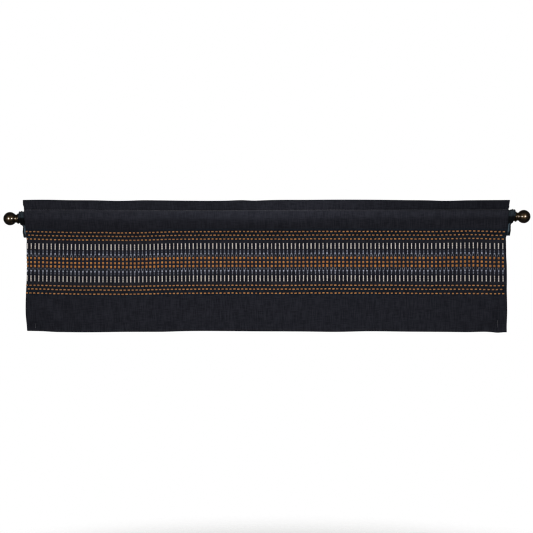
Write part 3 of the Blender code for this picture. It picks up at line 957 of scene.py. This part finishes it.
def yarn(name, dark, light):
    """Floats of loosely twisted cotton: strands across them, and flecks between two colours.

    The strands are a sine of the height, which bumps them and darkens their grooves a little: painted shade.
    The shade, a number of each float, makes it lighter.
    """
    material, tree = finish_of(name, Roughness=0.85)
    place = wire(tree, "UVMap", uv_map="cloth").outputs["UV"]
    shade = wire(tree, "Attribute", attribute_name="shade").outputs["Fac"]
    flecks = drawn_noise(tree, place, 300.0, 1300.0, 2.0)
    height = wire(tree, "SeparateXYZ", {"Vector": place}).outputs["Y"]
    strand = maths(tree, "SINE", maths(tree, "MULTIPLY", height, 2 * math.pi / STRAND_PITCH))
    # The strand sine darkens the colour in the grooves between strands: painted shade
    tone = maths(tree, "MULTIPLY_ADD", strand, 0.06, maths(tree, "MULTIPLY_ADD", flecks, 0.7, shade))
    colour = graded(tree, tone, (0.15, dark), (1.15, light))
    dress(tree, colour, maths(tree, "ADD", strand, flecks), 0.5, 0.0005)
    return material


def joined(groups):
    """Points and faces of several groups, each of which starts with these two, as those of one piece."""
    starts = np.cumsum([0] + [group[0].size // 3 for group in groups])
    faces = [[start + i for i in face] for start, group in zip(starts, groups) for face in group[1]]
    return np.concatenate([group[0].reshape(-1, 3) for group in groups]), faces


def add_floats(name, material, groups):
    """One piece from several groups of floats, each with its points, faces, cloth places and shades."""
    points, faces = joined(groups)
    places = np.concatenate([group[2].reshape(-1, 2) for group in groups])
    shade = np.concatenate([np.repeat(group[3], len(FLOAT_U) * len(FLOAT_V)) for group in groups])
    piece = add_piece(name, points, faces, material, places, shade=shade)
    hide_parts("panel")


rng = np.random.default_rng(20)


def band_row(heights, lag_left, lag_right, half_width, half_height, thick, base_shade, apart=0.0, taper=0.0):
    """One row of floats on the front, and of the same yarns' floats behind, halfway between them.

    Their widths, places and shades vary a little from one to the next. Several heights stack floats that
    share these, as the strands of one bar do. With apart, each float is two legs that far from its middle,
    which meet towards the bars. Column 120 would lie on the right fold, where the yarns run behind.
    """
    groups = []
    front_columns = np.append(np.arange(-1.0, LAST_COLUMN + 1.0), LAST_COLUMN + 2.0)
    sets = [(False, front_columns, aside) for aside in sorted({-apart, apart})]
    for behind, columns, aside in sets + [(True, np.arange(1.5, LAST_COLUMN - 1.5), 0.0)]:
        lag = lag_left + (lag_right - lag_left) * columns / LAST_COLUMN
        wide = BAND_PITCH / 2 + UNDER_REACH - half_width - apart if behind else half_width
        place = through(columns + lag, BAND_COLUMNS, 1) + aside
        place = place + rng.normal(0.0, PLACE_SCATTER, columns.shape)
        lean = through(columns + lag, BAND_COLUMNS, 2)
        off = rng.normal(0.0, HEIGHT_SCATTER, columns.shape)
        wide = wide * (1 + rng.normal(0.0, WIDE_SCATTER, columns.shape))
        tall = half_height * (1 + rng.normal(0.0, TALL_SCATTER, columns.shape))
        high = 0.5 * thick if behind else thick
        shade = base_shade + rng.normal(0.0, SHADE_SCATTER, columns.shape)
        for height in heights:
            across = place + lean * height
            spread = through(across, BAND_LINE, 2) if height < 0 else 0.0
            z = through(across, BAND_LINE, 1) + height * (1 + spread) + off
            way = math.copysign(1.0, height)
            made = floats(across, z, wide, tall, high, behind, way * taper, -0.3 * way * aside)
            groups.append((*made, shade))
    return groups


rust_yarn = yarn("rust_yarn", (0.28, 0.106, 0.033), (0.74, 0.345, 0.112))
orange_yarn = yarn("orange_yarn", (0.29, 0.101, 0.023), (0.78, 0.328, 0.080))
cream_yarn = yarn("cream_yarn", (0.48, 0.435, 0.395), (0.90, 0.82, 0.78))
slate_yarn = yarn("slate_yarn", (0.030, 0.036, 0.048), (0.50, 0.52, 0.64))

dashes = []
for dash_height, dash_left, dash_right in DASH_ROWS:
    dashes += band_row((dash_height,), dash_left, dash_right, *DASH_HALF, FLOAT_THICK, 0.20)
add_floats("rust_dashes", rust_yarn, dashes)

squares = []
for square_height, square_half in SQUARE_ROWS:
    squares += band_row((square_height,), 0.0, 0.0, SQUARE_HALF_WIDTH, square_half, FLOAT_THICK, 0.12)
add_floats("orange_squares", orange_yarn, squares)

bars = []
for bar_middle in (0.0497, -0.0502):
    strands = (bar_middle - CREAM_LOBE, bar_middle, bar_middle + CREAM_LOBE)
    bars += band_row(strands, 0.0, 0.0, *CREAM_HALF, FLOAT_THICK, 0.25)
add_floats("cream_bars", cream_yarn, bars)

tapers = []
for height, half, wide, shade, apart, taper in SLATE_ROWS:
    for way in (1, -1):
        tapers += band_row((way * height,), 0.0, 0.0, wide, half, SLATE_THICK, shade, apart, taper)
add_floats("slate_tapers", slate_yarn, tapers)


# Sewing
# Dark cotton thread in machine stitches holds the header's raw edge behind, the pocket below the rod and all
# the hems. A paler thread runs along the header's seam in front, and tacks its ends and the lower hem's
# corners.

STITCH_PITCH = 0.0032
THREAD_HALF = 0.00022
STITCH_SUNK = 0.0002
SEAM_POINTS = 400
LEFT_SEAM_IN = 0.0075
RIGHT_SEAM_IN = 0.0065
TACK_POINTS = 12
TACK_HALF = 0.00045
FRONT_START = HEADER_BACK_ROWS + 3 + FOLD_STEPS
SEAM_ROW = FRONT_START + HEADER_FRONT_ROWS + 1


def sewn(path, into, pitch=STITCH_PITCH, half_width=THREAD_HALF, share=0.78):
    """A row of stitches along a path on the cloth, as points and faces.

    path holds points, and into the directions into the cloth there. Places a pitch apart are found by
    length along it. Each stitch is a low dome on a grid of 5 by 3 points that runs with the path, over a
    share of the pitch, with its rim sunk in the cloth.
    """
    length = lengths(path)
    places = np.arange(0.5 * pitch, length[-1], pitch)

    def at(values):
        return np.stack([np.interp(places, length, values[:, i]) for i in range(3)], axis=1)

    along = unit(at(np.gradient(path, axis=0)))
    inner = unit(at(into))
    aside = np.cross(inner, along)
    u, v = np.meshgrid((-1, -0.75, 0, 0.75, 1), (-1, 0, 1))
    lift = 1.6 * half_width * np.sqrt((1 - u**4) * (1 - v**2)) - STITCH_SUNK

    def grid(vectors, values):
        return vectors[:, None, None, :] * values[None, :, :, None]

    points = at(path)[:, None, None, :] + grid(along, u * share * pitch / 2) + grid(aside, v * half_width)
    return points - grid(inner, lift), dome_faces(u.shape, len(places), (0, 3, 2, 1))


def add_sewing(name, material, rows):
    """One piece from several rows of stitches."""
    piece = add_piece(name, *joined(rows), material)
    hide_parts("panel")


def thread(name, dark, light):
    """Twisted cotton thread: fine flecks between two colours, and a faint gloss."""
    material, tree = finish_of(name, Roughness=0.6, Sheen_Weight=0.2, Specular_IOR_Level=0.35)
    flecks = noise(tree, wire(tree, "TexCoord").outputs["Object"], 1400.0, 2.0)
    dress(tree, graded(tree, flecks, (0.35, dark), (0.65, light)), flecks, 0.4, 0.0002)
    return material


panel_into = inward(panel_outer)
casing_into = inward(casing_outer)


def line_below(start, end, height_of, behind=False):
    """A level path on the cloth below the rod, and the directions into the cloth along it."""
    x = np.linspace(start, end, SEAM_POINTS)
    z = height_of(x)
    y = front_depth(x, z, 1.0) + DOUBLED if behind else front_depth(x, z)
    into = np.tile((0.0, -1.0 if behind else 1.0, 0.0), (SEAM_POINTS, 1))
    return np.stack((x, y, z), axis=1), into


def down_the_hem(column, rows):
    """The path down one column of the panel's grid over the given rows, and the directions into it."""
    return panel_outer[rows, column], panel_into[rows, column]


def lower_seam(x):
    """The height of the lower hem's seam."""
    return through(x, PANEL_LINES, 3) + LOWER_HEM - LOWER_SEAM_DOWN


front_rows = slice(FRONT_START, -HEM_BACK_ROWS - FOLD_STEPS)
hem_x = panel_outer[-30, :, 0]
left_hem = np.argmin(np.abs(hem_x + PANEL_HALF - SIDE_HEM_LEFT - LEFT_SEAM_IN))
right_hem = np.argmin(np.abs(hem_x - PANEL_HALF + SIDE_HEM_RIGHT + RIGHT_SEAM_IN))
sewing = [
    sewn(panel_outer[1, 5:-5], panel_into[1, 5:-5]),
    sewn(*line_below(-0.740, 0.736, lambda x: POCKET_SEAM_Z + 0 * x)),
    sewn(casing_outer[1, 4:-4], casing_into[1, 4:-4]),
    sewn(*line_below(-0.738, 0.734, lower_seam)),
    sewn(*line_below(-0.738, 0.734, lower_seam, behind=True)),
    sewn(*down_the_hem(left_hem, front_rows)),
    sewn(*down_the_hem(right_hem, front_rows)),
]
dark_thread = thread("dark_thread", (0.010, 0.011, 0.014), (0.030, 0.031, 0.038))
add_sewing("dark_sewing", dark_thread, sewing)

# Paler thread along the header's seam: first column, last column and half width
SEAM_PARTS = ((16, 210, 0.00034), (210, -15, 0.00018), (12, 16, TACK_HALF), (-15, -11, TACK_HALF))

# Tacks at the lower hem's corners: upper and lower end, as x and z
TACKS = (((-0.7205, -0.3265), (-0.7200, -0.3395)), ((0.7140, -0.3215), (0.7148, -0.3440)))
tacks = []
for (top_x, top_z), (low_x, low_z) in TACKS:
    x = np.linspace(top_x, low_x, TACK_POINTS)
    z = np.linspace(top_z, low_z, TACK_POINTS)
    path = np.stack((x, front_depth(x, z), z), axis=1)
    tacks.append(sewn(path, np.tile((0.0, 1.0, 0.0), (TACK_POINTS, 1)), half_width=TACK_HALF, share=0.92))
for first, last, half_width in SEAM_PARTS:
    path = panel_outer[SEAM_ROW, first:last]
    tacks.append(sewn(path, panel_into[SEAM_ROW, first:last], 0.0030, half_width, 0.9))
pale_thread = thread("pale_thread", (0.09, 0.09, 0.10), (0.22, 0.22, 0.23))
add_sewing("pale_tacks", pale_thread, tacks)


# Studio
# A pale round floor under the hanging part, soft boxes left and right of the camera, in front, above and
# behind, and the camera straight in front, as far away and as slightly tilted as in the photograph.

PIXEL = 0.0031
PHOTO_PIXELS = 533
CAMERA_DISTANCE = 4.0
CAMERA_X = -0.0019
CAMERA_Z = -0.1517
CAMERA_ROLL = 0.234
FLOOR_Z = -1.30
FLOOR_RADIUS = 2.0
FLOOR_FADE = 1.1
FLOOR_SIDES = 96
LAMP_X = 1.62
LAMP_Y = -3.20
AMBIENT = 0.07
AMBIENT_IN_GLOSS = 0.025
WHITE = (1.0, 1.0, 1.0, 1.0)

stage_white, tree = finish_of("stage_white", Roughness=0.9, Base_Color=(0.86, 0.86, 0.85, 1.0))
floor_place = wire(tree, "TexCoord").outputs["Object"]
level = wire(tree, "VectorMath", {0: floor_place, 1: (1.0, 1.0, 0.0)}, operation="MULTIPLY")
reach = wire(tree, "VectorMath", {0: level.outputs["Vector"]}, operation="LENGTH").outputs["Value"]
fade = {"Value": reach, "From Min": FLOOR_FADE, "From Max": FLOOR_RADIUS, "To Min": 1.0, "To Max": 0.0}
rim = wire(tree, "MapRange", fade, interpolation_type="SMOOTHSTEP")
tree.links.new(rim.outputs["Result"], tree.nodes["Principled BSDF"].inputs["Alpha"])
angle = np.linspace(0.0, 2 * np.pi, FLOOR_SIDES, endpoint=False)
ring = np.stack((FLOOR_RADIUS * np.cos(angle), FLOOR_RADIUS * np.sin(angle), 0 * angle + FLOOR_Z), axis=1)
floor_mesh = bpy.data.meshes.new("floor")
floor_mesh.from_pydata(ring.tolist(), [], [list(range(FLOOR_SIDES))])
floor_mesh.materials.append(stage_white)
floor = bpy.data.objects.new("floor", floor_mesh)
bpy.context.scene.collection.objects.link(floor)
floor.visible_glossy = False
floor.visible_diffuse = False


def soft_box(name, place, aim, size, power, mirrored=True, dull=True):
    """A rectangular lamp at place that faces aim. It can be left out of gloss, or of all dull surfaces."""
    light = bpy.data.lights.new(name, "AREA")
    light.shape = "RECTANGLE"
    light.size, light.size_y = size
    light.energy = power
    lamp = bpy.data.objects.new(name, light)
    lamp.location = place
    towards = np.array(aim) - np.array(place)
    lamp.rotation_euler = (
        math.atan2(math.hypot(towards[0], towards[1]), -towards[2]),
        0.0,
        math.atan2(-towards[0], towards[1]),
    )
    lamp.visible_camera = False
    lamp.visible_glossy = mirrored
    lamp.visible_diffuse = dull
    bpy.context.scene.collection.objects.link(lamp)


for box_side in (-1, 1):
    soft_box("shine", (LAMP_X * box_side, LAMP_Y, 0.06), (0.0, 0.0, 0.0), (0.9, 0.9), 40.0, dull=False)
    soft_box("fill", (LAMP_X * box_side, LAMP_Y, 0.30), (0.0, 0.0, -0.10), (0.9, 0.9), 33.5, mirrored=False)
soft_box("fill_middle", (0.06, -1.5, 0.20), (0.06, 0.0, -0.10), (0.5, 0.5), 6.4, mirrored=False)
soft_box("box_top", (-0.02, -0.22, 0.92), (-0.02, -0.02, 0.0), (0.6, 0.4), 8.3, mirrored=False)
soft_box("ceiling", (0.0, -1.60, 2.0), (0.0, 0.0, 0.0), (4.0, 2.4), 12.0, mirrored=False)
soft_box("box_behind", (0.0, 3.0, 0.9), (0.0, 0.0, -0.10), (3.0, 1.2), 60.0, mirrored=False)

world = bpy.data.worlds.new("studio")
world.use_nodes = True
bpy.context.scene.world = world
tree = world.node_tree
ambient = tree.nodes["Background"]
ambient.inputs["Color"].default_value = WHITE
backdrop = wire(tree, "Background", {"Color": WHITE, "Strength": 1.0})
path_kind = wire(tree, "LightPath").outputs
fill = maths(tree, "MULTIPLY_ADD", path_kind["Is Glossy Ray"], AMBIENT_IN_GLOSS - AMBIENT, AMBIENT)
tree.links.new(fill, ambient.inputs["Strength"])
shown = {0: path_kind["Is Camera Ray"], 1: ambient.outputs[0], 2: backdrop.outputs[0]}
mixed = wire(tree, "MixShader", shown)
tree.links.new(mixed.outputs[0], tree.nodes["World Output"].inputs["Surface"])
bpy.context.scene.view_settings.view_transform = "Standard"
bpy.context.scene.cycles.filter_width = 1.2

camera_data = bpy.data.cameras.new("camera")
camera_data.lens = camera_data.sensor_width * CAMERA_DISTANCE / (PHOTO_PIXELS * PIXEL)
camera = bpy.data.objects.new("camera", camera_data)
camera.location = (CAMERA_X, SEAM_FRONT - CAMERA_DISTANCE, CAMERA_Z)
camera.rotation_euler = (math.pi / 2, math.radians(CAMERA_ROLL), 0.0)
bpy.context.scene.collection.objects.link(camera)
bpy.context.scene.camera = camera
